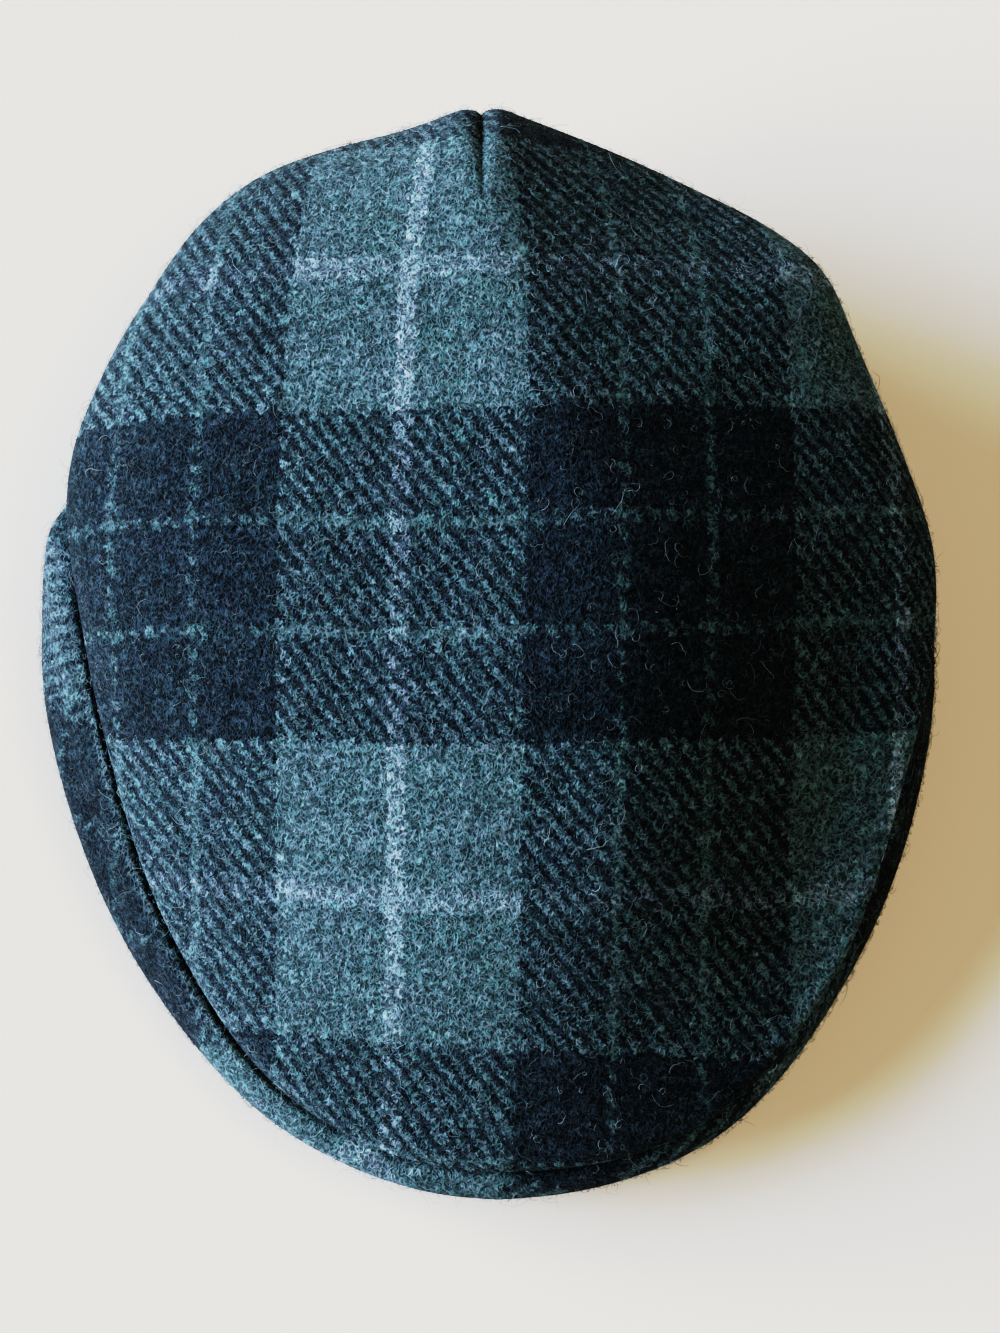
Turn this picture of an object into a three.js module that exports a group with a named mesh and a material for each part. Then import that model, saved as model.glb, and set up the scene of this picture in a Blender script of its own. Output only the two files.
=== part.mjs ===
// Flat cap in checked tweed: a one-piece top with a centre-back dart, two side panels and a stiff peak.
// Millimetres, +Z up. The peak points along -Y, and the rim rests on z = 0 below the middle of the cap.
import * as THREE from "three";
import { mergeVertices } from "three/addons/utils/BufferGeometryUtils.js";

// Driving dimensions
const CLOTH = 2.2; // wall of tweed
const HEM = 4.4; // rim, where the cloth is turned up inside
const SEAM_GAP = 0.4; // between the edges of panels that are sewn together
const HEAD = { halfWidth: 83, halfLength: 98 }; // head opening, a 57 cm oval about the crown point
const CROWN = { y: 20, height: 76 }; // highest point of the top
const SHOULDER_SHARE = 0.86; // of the way from the crown out to the fold
const MIDDLE_SHARE = 0.5;
const DART = { length: 30, depth: 1.8, halfWidthDeg: 2.6 }; // sewn-in pleat at the centre back
const PEAK = {
  halfWidth: 88, // of the ellipse that its outer edge follows
  depth: 71,
  centreY: -66,
  lip: 0.6, // how far its edge stays inside the cap's outline
  endAngle: 54, // of its rear corners, at the temples
  thickness: 4.6, // stiffener with cloth on both sides
  lift: 9.4, // underside of its front edge above the table, which its corners touch
  rise: 10, // from its front edge back to the forehead
  nose: 1.4, // rounding of its outer edge
};
const BULGE = { // fullness of the side panels: shares of the way from rim to bulge and on to the seam
  below: { out: 0.82, up: 0.45 },
  above: { out: 0.3, up: 0.55 },
};
const TEMPLE = { from: 57, to: 65 }; // where the side panels step down from the peak to the rim

// Plan radius of the cap's outline from the crown point, by the angle from the front, on each side.
const OUTLINE = [
  { angle: 0, right: 155.3, left: 155.3 },
  { angle: 20, right: 151.5, left: 147.8 },
  { angle: 40, right: 135.6, left: 133 },
  { angle: 60, right: 123, left: 122 },
  { angle: 80, right: 114.4, left: 115 },
  { angle: 90, right: 111.2, left: 111.8 },
  { angle: 100, right: 106.6, left: 109.3 },
  { angle: 110, right: 105.6, left: 106.9 },
  { angle: 120, right: 107.4, left: 107.2 },
  { angle: 130, right: 112.4, left: 108.5 },
  { angle: 140, right: 111.2, left: 112 },
  { angle: 150, right: 109.2, left: 113.7 },
  { angle: 160, right: 109.6, left: 112.3 },
  { angle: 170, right: 112.1, left: 112 },
  { angle: 180, right: 116.8, left: 116.8 },
];

// One row for each section round the cap, by its angle from the front.
// stripRight and stripLeft: how far the top's fold lies inside the outline, which bares the side panel.
// tuck: how far the seam lies inside that fold. inset: how far the side panel lies inside the outline.
// seam, fold, shoulder, middle and bulge: heights of the seam, of three places on the top, and of the
// side panel's widest place.
const SECTIONS = [
  { angle: 0, stripRight: 6, stripLeft: 6, tuck: 0.8, inset: 0,
    seam: 21, fold: 24.5, shoulder: 34, middle: 58, bulge: 17 },
  { angle: 20, stripRight: 5.5, stripLeft: 6.6, tuck: 0.8, inset: 0,
    seam: 21.5, fold: 25, shoulder: 35, middle: 58.5, bulge: 16.5 },
  { angle: 40, stripRight: 5.6, stripLeft: 11, tuck: 1, inset: 0,
    seam: 24, fold: 28.5, shoulder: 40, middle: 61.5, bulge: 15.5 },
  { angle: 60, stripRight: 8.9, stripLeft: 14.4, tuck: 1.2, inset: 0,
    seam: 29, fold: 35, shoulder: 48, middle: 66, bulge: 17 },
  { angle: 80, stripRight: 4.8, stripLeft: 12, tuck: 1.6, inset: 0,
    seam: 34, fold: 42, shoulder: 55.5, middle: 69.5, bulge: 19 },
  { angle: 100, stripRight: 0, stripLeft: 2.8, tuck: 3, inset: 2,
    seam: 36, fold: 47, shoulder: 60, middle: 71.5, bulge: 20 },
  { angle: 120, stripRight: 0, stripLeft: 0, tuck: 4, inset: 5,
    seam: 37, fold: 49, shoulder: 62, middle: 72.5, bulge: 20 },
  { angle: 140, stripRight: 0, stripLeft: 0, tuck: 5, inset: 6,
    seam: 37, fold: 50, shoulder: 62.5, middle: 72.5, bulge: 20 },
  { angle: 160, stripRight: 0, stripLeft: 0, tuck: 5, inset: 6,
    seam: 37, fold: 50, shoulder: 62, middle: 72.5, bulge: 20 },
  { angle: 180, stripRight: 0, stripLeft: 0, tuck: 6, inset: 7,
    seam: 37, fold: 49, shoulder: 61, middle: 72, bulge: 20 },
];

// Facets
const RAY_STEP = 3.75; // degrees between sections
const DART_RAYS = [1.2, 2.6]; // extra sections on each side of the dart
const TOP_SPANS = [3, 4, 4, 4]; // facets from seam to fold, shoulder, middle and crown
const SIDE_SPANS = [3, 2, 2, 3]; // facets from rim to underside, bulge, upper side and seam
const PEAK_RAYS = 36;
const PEAK_SHARES = [0.25, 0.5, 0.75, 1]; // of the way from the rounded edge to the forehead

const { degToRad, smoothstep, lerp } = THREE.MathUtils;

function smoothUnion(a, b, blend) {
  const overlap = Math.max(blend - Math.abs(a - b), 0) / blend;
  return Math.max(a, b) + (overlap * overlap * blend) / 4;
}

function smoothLimit(a, b, blend) {
  return -smoothUnion(-a, -b, blend);
}

// A smooth curve through every column of a table, level at the front and free to make a point at the back.
function tableCurve(table) {
  const columns = Object.keys(table[0]).filter((column) => column !== "angle");
  const curve = new THREE.CubicInterpolant(
    table.map((row) => row.angle),
    table.flatMap((row) => columns.map((column) => row[column])),
    columns.length,
  );
  curve.settings = {
    endingStart: THREE.ZeroSlopeEnding,
    endingEnd: THREE.ZeroCurvatureEnding,
  };
  return (angle) => {
    const values = curve.evaluate(angle);
    return Object.fromEntries(columns.map((column, k) => [column, values[k]]));
  };
}

const outlineAt = tableCurve(OUTLINE);
const sectionRowAt = tableCurve(SECTIONS);

// The section at a signed angle from the front: positive is on +X.
function sectionAt(angle) {
  const row = sectionRowAt(Math.abs(angle));
  const radii = outlineAt(Math.abs(angle));
  const outline = angle >= 0 ? radii.right : radii.left;
  const strip = Math.max(angle >= 0 ? row.stripRight : row.stripLeft, 0);
  const foldRadius = outline - strip;
  return { ...row, outline, foldRadius, seamRadius: foldRadius - row.tuck };
}

function polar(angle, radius, z) {
  const turn = degToRad(angle);
  return new THREE.Vector3(radius * Math.sin(turn), CROWN.y - radius * Math.cos(turn), z);
}

function headRadius(angle) {
  const turn = degToRad(angle);
  return 1 / Math.hypot(Math.sin(turn) / HEAD.halfWidth, Math.cos(turn) / HEAD.halfLength);
}

// Far side of the peak's ellipse along a ray from the crown point, or 0 where the ray misses it.
function peakEllipseRadius(angle) {
  const turn = degToRad(angle);
  const across = Math.sin(turn) / PEAK.halfWidth;
  const along = Math.cos(turn) / PEAK.depth;
  const offset = (CROWN.y - PEAK.centreY) / PEAK.depth;
  const a = across * across + along * along;
  const b = along * offset;
  const root = b * b - a * (offset * offset - 1);
  return root > 0 ? (b + Math.sqrt(root)) / a : 0;
}

function peakEdgeRadius(angle) {
  return smoothLimit(sectionAt(angle).outline - PEAK.lip, peakEllipseRadius(angle), 3);
}

// The peak arches from corner to corner.
function peakArch(angle) {
  const share = Math.min(Math.abs(angle) / PEAK.endAngle, 1);
  return Math.cos((share * Math.PI) / 2) ** 1.2;
}

function peakUnderside(angle, share) {
  return peakArch(angle) * (PEAK.lift + PEAK.rise * share);
}

// Lower edge of the side panels: on the peak's edge in front, then down to the rim behind the temples.
function lowerEdge(angle) {
  const onRim = smoothstep(Math.abs(angle), TEMPLE.from, TEMPLE.to);
  const onPeak = peakUnderside(angle, 0) + PEAK.thickness + SEAM_GAP;
  const radius = smoothUnion(headRadius(angle) + HEM, peakEdgeRadius(angle), 3);
  return { radius, z: onPeak * (1 - onRim), wall: lerp(CLOTH, HEM, onRim) };
}

// Points along a curve, with its own number of facets in each span between control points.
function sampleSpans(controls, spans) {
  const curve = new THREE.CatmullRomCurve3(controls, false, "centripetal");
  const last = controls.length - 1;
  const points = [controls[0].clone()];
  spans.forEach((count, span) => {
    for (let k = 1; k <= count; k += 1) {
      points.push(curve.getPoint((span + k / count) / last));
    }
  });
  return points;
}

// Outer profile of the top, from the seam over the fold and up to the crown.
function topProfile(angle) {
  const here = sectionAt(angle);
  const across = angle > 0 ? angle - 180 : angle + 180;
  const opposite = sectionAt(across);
  const controls = [
    polar(angle, here.seamRadius, here.seam + SEAM_GAP / 2),
    polar(angle, here.foldRadius, here.fold),
    polar(angle, here.foldRadius * SHOULDER_SHARE, here.shoulder),
    polar(angle, here.foldRadius * MIDDLE_SHARE, here.middle),
    polar(angle, 0, CROWN.height),
    polar(across, opposite.foldRadius * MIDDLE_SHARE, opposite.middle),
  ];
  return sampleSpans(controls, TOP_SPANS);
}

// Outer profile of a side panel, from its lower edge over the bulge and up to the seam.
function sideProfile(angle) {
  const here = sectionAt(angle);
  const low = lowerEdge(angle);
  const wide = here.outline - here.inset;
  const seam = here.seam - SEAM_GAP / 2;
  const below = BULGE.below;
  const above = BULGE.above;
  const controls = [
    polar(angle, low.radius, low.z),
    polar(angle, lerp(low.radius, wide, below.out), lerp(low.z, here.bulge, below.up)),
    polar(angle, wide, here.bulge),
    polar(angle, lerp(wide, here.seamRadius, above.out), lerp(here.bulge, seam, above.up)),
    polar(angle, here.seamRadius, seam),
  ];
  return sampleSpans(controls, SIDE_SPANS);
}

// The point a step away from grid[i][j], held at the grid's edge unless the sections close on themselves.
function neighbour(grid, i, j, closed) {
  const count = grid.length;
  const row = closed ? (i + count) % count : THREE.MathUtils.clamp(i, 0, count - 1);
  return grid[row][THREE.MathUtils.clamp(j, 0, grid[row].length - 1)];
}

// Outward normal of a grid of sections. A level one is the outline's own normal in plan.
function gridNormal(grid, i, j, closed, level) {
  const round = neighbour(grid, i + 1, j, closed).clone().sub(neighbour(grid, i - 1, j, closed));
  const up = neighbour(grid, i, j + 1, closed).clone().sub(neighbour(grid, i, j - 1, closed));
  if (level) {
    up.set(0, 0, 1);
  }
  const normal = round.cross(up);
  return normal.lengthSq() > 1e-6 ? normal.normalize() : new THREE.Vector3(0, 0, 1);
}

// Inner face of a wall. Its first and last rows can be cut level, as the sewn edges and the rim are.
function innerGrid(grid, closed, wallAt, levelRows) {
  return grid.map((points, i) =>
    points.map((point, j) => {
      const level = levelRows.includes(j);
      const normal = gridNormal(grid, i, j, closed, level);
      return point.clone().addScaledVector(normal, -wallAt(i, j));
    }),
  );
}

// Closed solid between an outer and an inner grid of sections.
function wallGeometry(outer, inner, closed) {
  const sections = outer.length;
  const rows = outer[0].length;
  const positions = [...outer, ...inner].flat().flatMap((point) => point.toArray());
  const out = (i, j) => (i % sections) * rows + j;
  const back = (i, j) => sections * rows + out(i, j);
  const triangles = [];
  const quad = (a, b, c, d) => triangles.push([a, b, c], [a, c, d]);
  const bands = closed ? sections : sections - 1;
  for (let i = 0; i < bands; i += 1) {
    for (let j = 0; j < rows - 1; j += 1) {
      quad(out(i, j), out(i + 1, j), out(i + 1, j + 1), out(i, j + 1));
      quad(back(i, j), back(i, j + 1), back(i + 1, j + 1), back(i + 1, j));
    }
    quad(out(i, 0), back(i, 0), back(i + 1, 0), out(i + 1, 0));
    quad(out(i, rows - 1), out(i + 1, rows - 1), back(i + 1, rows - 1), back(i, rows - 1));
  }
  if (!closed) {
    const last = sections - 1;
    for (let j = 0; j < rows - 1; j += 1) {
      quad(out(0, j), out(0, j + 1), back(0, j + 1), back(0, j));
      quad(out(last, j), back(last, j), back(last, j + 1), out(last, j + 1));
    }
  }
  const loose = new THREE.BufferGeometry();
  loose.setAttribute("position", new THREE.Float32BufferAttribute(positions, 3));
  loose.setIndex(triangles.flat());
  return withoutSlivers(mergeVertices(loose, 1e-3));
}

// Facets that share a pole lose a corner when vertices merge, and those with no area are dropped.
function withoutSlivers(geometry) {
  const index = geometry.index.array;
  const kept = [];
  for (let k = 0; k < index.length; k += 3) {
    const [a, b, c] = index.subarray(k, k + 3);
    if (a !== b && b !== c && c !== a) {
      kept.push(a, b, c);
    }
  }
  geometry.setIndex(kept);
  geometry.computeVertexNormals();
  return geometry;
}

// Angles of the sections from one side of the centre back round the front to the other.
function sectionAngles() {
  const angles = [180];
  for (let angle = RAY_STEP; angle < 180; angle += RAY_STEP) {
    angles.push(angle, -angle);
  }
  angles.push(0);
  DART_RAYS.forEach((away) => angles.push(180 - away, away - 180));
  return angles.sort((a, b) => a - b);
}

// The dart pulls the cloth down along the centre back, deepest at the fold.
function sinkDart(grid, angles) {
  grid.forEach((points, i) => {
    const away = (180 - Math.abs(angles[i])) / DART.halfWidthDeg;
    if (away >= 1) {
      return;
    }
    const normals = points.map((_, j) => gridNormal(grid, i, j, true, false));
    const fold = points[TOP_SPANS[0]];
    points.forEach((point, j) => {
      const reach = Math.hypot(point.x - fold.x, point.y - fold.y) / DART.length;
      const depth = DART.depth * (1 - away) ** 1.5 * (1 - smoothstep(reach, 0.2, 1));
      point.addScaledVector(normals[j], j === 0 ? 0 : -depth);
    });
  });
}

function topGeometry() {
  const angles = sectionAngles();
  const outer = angles.map(topProfile);
  sinkDart(outer, angles);
  const inner = innerGrid(outer, true, () => CLOTH, [0]);
  return wallGeometry(outer, inner, true);
}

// One side panel: 1 is the side on +X and -1 the other. It runs from the centre front to the centre back.
function sideGeometry(side) {
  const angles = sectionAngles().filter((angle) => angle * side >= 0);
  if (side < 0) {
    angles.unshift(-180);
    angles.splice(angles.indexOf(180), angles.includes(180) ? 1 : 0);
  }
  const outer = angles.map(sideProfile);
  const lastRow = outer[0].length - 1;
  const hemRows = SIDE_SPANS[0] + SIDE_SPANS[1];
  const wallAt = (i, j) => lerp(lowerEdge(angles[i]).wall, CLOTH, smoothstep(j, 0, hemRows));
  const inner = innerGrid(outer, false, wallAt, [0, lastRow]);
  [inner[0], inner.at(-1)].flat().forEach((point) => point.setX(0)); // ends cut on the centre line
  return wallGeometry(outer, inner, false);
}

// The peak, a crescent from its rounded outer edge back to the forehead.
function peakGeometry() {
  const upper = [];
  const lower = [];
  for (let k = 0; k <= PEAK_RAYS; k += 1) {
    const angle = lerp(-PEAK.endAngle, PEAK.endAngle, k / PEAK_RAYS);
    const edge = peakEdgeRadius(angle);
    const forehead = headRadius(angle);
    const shoulder = edge - PEAK.nose;
    const under = peakUnderside(angle, 0);
    const top = [
      polar(angle, edge, under + PEAK.thickness * 0.7),
      polar(angle, shoulder, under + PEAK.thickness),
    ];
    const bottom = [
      polar(angle, edge, under + PEAK.thickness * 0.3),
      polar(angle, shoulder, under),
    ];
    PEAK_SHARES.forEach((share) => {
      const radius = lerp(shoulder, forehead, share);
      const z = peakUnderside(angle, share);
      top.push(polar(angle, radius, z + PEAK.thickness));
      bottom.push(polar(angle, radius, z));
    });
    upper.push(top);
    lower.push(bottom);
  }
  return wallGeometry(upper, lower, false);
}

function tweed(color) {
  return new THREE.MeshStandardMaterial({ color, roughness: 0.95, metalness: 0 });
}

function piece(name, geometry, color) {
  const mesh = new THREE.Mesh(geometry, tweed(color));
  mesh.name = name;
  return mesh;
}

const cap = new THREE.Group();
cap.add(piece("top_panel", topGeometry(), 0x3a5868));
cap.add(piece("peak", peakGeometry(), 0x2c414d));

// The side panels stand half a seam's gap apart at the centre front and the centre back.
[
  ["side_panel_right", 1],
  ["side_panel_left", -1],
].forEach(([name, side]) => {
  const panel = piece(name, sideGeometry(side), 0x34505f);
  panel.position.x = (side * SEAM_GAP) / 2;
  cap.add(panel);
});

// The frame's origin is below the middle of the cap, at table height.
const box = new THREE.Box3().setFromObject(cap);
const middle = box.getCenter(new THREE.Vector3()).setZ(box.min.z);
cap.children.forEach((mesh) => mesh.position.sub(middle));

export default cap;
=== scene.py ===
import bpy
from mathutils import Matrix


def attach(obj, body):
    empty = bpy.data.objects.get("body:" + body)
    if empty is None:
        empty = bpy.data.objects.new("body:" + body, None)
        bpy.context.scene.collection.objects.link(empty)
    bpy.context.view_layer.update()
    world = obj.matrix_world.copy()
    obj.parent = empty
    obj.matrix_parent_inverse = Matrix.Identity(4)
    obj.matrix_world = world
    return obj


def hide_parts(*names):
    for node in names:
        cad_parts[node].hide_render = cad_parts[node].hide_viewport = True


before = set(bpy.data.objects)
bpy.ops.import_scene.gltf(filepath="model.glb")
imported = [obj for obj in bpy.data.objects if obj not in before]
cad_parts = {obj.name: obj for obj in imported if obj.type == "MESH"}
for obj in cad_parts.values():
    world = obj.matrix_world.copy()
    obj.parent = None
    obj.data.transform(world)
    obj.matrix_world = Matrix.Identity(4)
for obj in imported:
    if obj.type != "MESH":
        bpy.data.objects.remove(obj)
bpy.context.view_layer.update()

import math

import bpy
import numpy as np
from mathutils import Matrix, Vector
from mathutils.bvhtree import BVHTree

# Flat cap in checked tweed: a one-piece top with a dart at the back, two side panels and a stiff peak.
# The peak points along -Y, and the rim rests on the floor.

MM = 0.001
LEFT = -1
RIGHT = 1

# The cap's highest point in plan, and the height of a point inside it that sees the whole top.
CROWN = np.array([0.267, 19.916]) * MM
HOLLOW_HEIGHT = 40 * MM

# The check, thread by thread, the same in warp and weft.
SETT = [
    ("navy", 19),
    ("line", 2),
    ("navy", 17),
    ("line", 2),
    ("navy", 18),
    ("teal", 25),
    ("lilac", 4),
    ("teal", 25),
]
REPEAT = sum(threads for _, threads in SETT)
# The yarns' dyes. The pale lines are duller in the weft than in the warp.
YARN = {
    "navy": (0.0112, 0.0185, 0.0265),
    "teal": (0.053, 0.091, 0.112),
    "line": (0.040, 0.072, 0.086),
    "lilac": (0.152, 0.228, 0.298),
}
WEFT_YARN = {**YARN, "lilac": (0.111, 0.166, 0.218)}
# How the wool felts: how far a yarn lets others spread over it, and how far it spreads over them.
FELTING = {"navy": (0.06, 0.5), "teal": (0.42, 0.1), "line": (0.5, 0.3), "lilac": (1.0, 1.0)}
WARP_PITCH = 1.131 * MM
WEFT_PITCH = 1.401 * MM

# Points closer than MERGED are one, and the side panels' ends come within SEWN of the centre line.
MERGED = 0.01 * MM
SEWN = 0.6 * MM
ROUNDING_LEVELS = 2


# Small helpers for shaping pieces

def only(piece):
    bpy.ops.object.select_all(action="DESELECT")
    piece.select_set(True)
    bpy.context.view_layer.objects.active = piece


def placed(name, data):
    """A new object in the scene."""
    made = bpy.data.objects.new(name, data)
    bpy.context.scene.collection.objects.link(made)
    return made


def read(items, field, width, kind=np.float32):
    """One field of all of a mesh's points, edges or faces, in a row for each of them."""
    values = np.empty(len(items) * width, kind)
    items.foreach_get(field, values)
    return values.reshape(-1, width)


def coordinates(mesh):
    return read(mesh.vertices, "co", 3).astype(float)


def edge_ends(mesh):
    return read(mesh.edges, "vertices", 2, np.int32)


def close_centre_seam(piece):
    """Brings a side panel's ends to the centre line, with square edges, so that the two panels meet."""
    ends = np.abs(coordinates(piece.data)[:, 0] - CROWN[0]) < SEWN
    for vertex in piece.data.vertices:
        if ends[vertex.index]:
            vertex.co.x = CROWN[0]
    creases = piece.data.attributes.new("crease_edge", "FLOAT", "EDGE")
    for edge in piece.data.edges:
        if ends[edge.vertices[0]] and ends[edge.vertices[1]]:
            creases.data[edge.index].value = 1.0


def cloth_copy(node, name, seam=False):
    """A panel of cloth from the solid that it stands for, its facets joined into quads and rounded."""
    piece = placed(name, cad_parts[node].data.copy())
    only(piece)
    bpy.ops.object.mode_set(mode="EDIT")
    bpy.ops.mesh.select_all(action="SELECT")
    bpy.ops.mesh.customdata_custom_splitnormals_clear()
    bpy.ops.mesh.remove_doubles(threshold=MERGED)
    bpy.ops.mesh.tris_convert_to_quads(
        face_threshold=math.radians(50),
        shape_threshold=math.radians(60),
    )
    bpy.ops.object.mode_set(mode="OBJECT")
    if seam:
        close_centre_seam(piece)
    rounding = piece.modifiers.new("rounding", "SUBSURF")
    rounding.levels = ROUNDING_LEVELS
    rounding.render_levels = ROUNDING_LEVELS
    bpy.ops.object.modifier_apply(modifier=rounding.name)
    bpy.ops.object.shade_smooth()
    if seam:
        square_ends(piece)
    return piece


def square_ends(piece):
    """Shades a side panel's ends apart from its face, so that the centre seam doesn't show."""
    at_end = np.abs(coordinates(piece.data)[:, 0] - CROWN[0]) < 2 * MERGED
    ends = edge_ends(piece.data)
    sharp = piece.data.attributes.new("sharp_edge", "BOOLEAN", "EDGE")
    sharp.data.foreach_set("value", at_end[ends].all(1))


def split_edges(piece, chosen, cuts):
    """Cuts the chosen edges into equal lengths, so that cloth can be shaped finely there."""
    only(piece)
    bpy.ops.object.mode_set(mode="EDIT")
    bpy.ops.mesh.select_mode(type="EDGE")
    bpy.ops.mesh.select_all(action="DESELECT")
    bpy.ops.object.mode_set(mode="OBJECT")
    piece.data.edges.foreach_set("select", chosen)
    bpy.ops.object.mode_set(mode="EDIT")
    bpy.ops.mesh.subdivide(number_cuts=cuts)
    bpy.ops.object.mode_set(mode="OBJECT")


def move_to(piece, points):
    piece.data.vertices.foreach_set("co", points.astype(np.float32).ravel())
    piece.data.update()


def mark(piece, name, values):
    """Gives every vertex a value that the material can read."""
    marks = piece.data.attributes.new(name, "FLOAT", "POINT")
    marks.data.foreach_set("value", values.astype(np.float32))


# Where each thread lies on a panel

# Angles round the cap at which the side panels are measured, and how near to one a point counts.
STATION_STEP = 3.75
STATIONS = np.arange(0, 180.1, STATION_STEP)
AT_STATION = 1.9
# A panel's upper edge is its highest point, and of level ones the furthest out: so height weighs more.
HEIGHT_WEIGHT = 100
# The rays that measure the top from inside it: steps in degrees, and how far out they come from.
TURN_STEP = 5.0
SIGHT_STEP = 2.0
LOWEST_SIGHT = -14.0
FAR_OUT = 0.4
# The top's threads: their turn from the centre line, and the two that cross at the crown.
TOP_SKEW = math.radians(2.54)
CROWN_WARP = -8.4
CROWN_WEFT = 21.2
# The wedge of cloth that the dart takes in, behind the crown, and how many threads it takes on each side.
WEDGE_START = 60 * MM
WEDGE_LENGTH = 46 * MM
WEDGE_LEFT = 3.3
WEDGE_RIGHT = 6.3
# Unit of the places at which the top's threads are eased.
EASED = 100 * MM
# The side panels' threads: slant to the panel's length in degrees, and the two at its front end.
SIDE_SLANT = {LEFT: 40, RIGHT: 70}
SIDE_START = {LEFT: (-49.7, 101), RIGHT: (58, 21)}
SIDE_WARP_PITCH = 1.19 * MM
SIDE_WEFT_PITCH = 1.48 * MM
# From here to the back the side panels are stretched along the seam, by this share.
STRETCHED_FROM = 165 * MM
STRETCH = 0.085
# The peak's threads at the middle of the cap.
PEAK_WARP = 30
PEAK_WEFT = 4


def around(points):
    """Angle from the front in degrees, positive to the right, and distance from the crown in plan."""
    away = points[:, :2] - CROWN
    return np.degrees(np.arctan2(away[:, 0], -away[:, 1])), np.hypot(away[:, 0], away[:, 1])


def seam_course(node):
    """At each station, a side panel's widest radius, and the radius and height of its upper edge."""
    solid = coordinates(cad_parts[node].data)
    turn, radius = around(solid)
    near = [np.abs(np.abs(turn) - station) < AT_STATION for station in STATIONS]
    edge = [np.argmax(solid[at][:, 2] * HEIGHT_WEIGHT + radius[at]) for at in near]
    widest = np.array([radius[at].max() for at in near])
    seam_radius = np.array([radius[at][k] for at, k in zip(near, edge)])
    seam_height = np.array([solid[at][k, 2] for at, k in zip(near, edge)])
    return widest, seam_radius, seam_height


SEAMS = {LEFT: seam_course("side_panel_left"), RIGHT: seam_course("side_panel_right")}


def off_seam(points, inset=0.0):
    """How far a point is from the seam of top and sides, or from a line inset from it, in a slice."""
    turn, radius = around(points)
    off = np.empty(len(points))
    for side, here in ((LEFT, turn < 0), (RIGHT, turn >= 0)):
        _, seam_radius, seam_height = SEAMS[side]
        bend = np.abs(turn[here])
        off[here] = np.hypot(
            radius[here] - np.interp(bend, STATIONS, seam_radius) + inset,
            points[here, 2] - np.interp(bend, STATIONS, seam_height),
        )
    return off


def top_arc_table():
    """Length of cloth from the crown to a place on the top, by angle round the cap and angle of sight."""
    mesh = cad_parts["top_panel"].data
    tree = BVHTree.FromPolygons(
        [vertex.co for vertex in mesh.vertices],
        [facet.vertices for facet in mesh.polygons],
    )
    eye = Vector((CROWN[0], CROWN[1], HOLLOW_HEIGHT))
    turns = np.arange(-180, 180, TURN_STEP)
    sights = np.arange(LOWEST_SIGHT, 90.5, SIGHT_STEP)
    table = np.empty((len(turns), len(sights)))
    for i, turn in enumerate(np.radians(turns)):
        reach = np.full(len(sights), np.nan)
        for k, sight in enumerate(np.radians(sights)):
            level = math.cos(sight)
            ray = Vector((level * math.sin(turn), -level * math.cos(turn), math.sin(sight)))
            spot = tree.ray_cast(eye + ray * FAR_OUT, -ray)[0]
            if spot is not None and (spot - eye).dot(ray) > 0:
                reach[k] = (spot - eye).length
        seen = np.isfinite(reach)
        reach = np.interp(sights, sights[seen], reach[seen])
        profile = np.stack([reach * np.cos(np.radians(sights)), reach * np.sin(np.radians(sights))], 1)
        steps = np.linalg.norm(np.diff(profile, axis=0), axis=1)
        table[i] = np.append(np.cumsum(steps[::-1])[::-1], 0)
    return turns, sights, table


def flat_top(points):
    """The top panel laid flat: distances across and towards the back from the crown, along the cloth."""
    turns, sights, table = top_arc_table()
    turn, radius = around(points)
    sight = np.degrees(np.arctan2(points[:, 2] - HOLLOW_HEIGHT, radius))
    column = np.clip((sight - sights[0]) / SIGHT_STEP, 0, len(sights) - 1.001)
    row = (turn + 180) / TURN_STEP
    k = column.astype(int)
    i = np.floor(row).astype(int) % len(turns)
    j = (i + 1) % len(turns)
    a = row - np.floor(row)
    b = column - k
    arc = (1 - a) * ((1 - b) * table[i, k] + b * table[i, k + 1])
    arc += a * ((1 - b) * table[j, k] + b * table[j, k + 1])
    return arc * np.sin(np.radians(turn)), -arc * np.cos(np.radians(turn))


def corner_data(mesh):
    """For every face corner, its vertex and the middle of its face."""
    corners = read(mesh.loops, "vertex_index", 1, np.int32).ravel()
    totals = read(mesh.polygons, "loop_total", 1, np.int32).ravel()
    middles = read(mesh.polygons, "center", 3)
    return corners, np.repeat(middles, totals, axis=0)


def lay_threads(piece, warp, weft):
    """Writes the number of the warp and weft thread at every face corner."""
    threads = piece.data.uv_layers.new(name="threads")
    piece.data.uv_layers.active = threads
    threads.data.foreach_set("uv", np.stack([warp, weft], 1).astype(np.float32).ravel())


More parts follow.
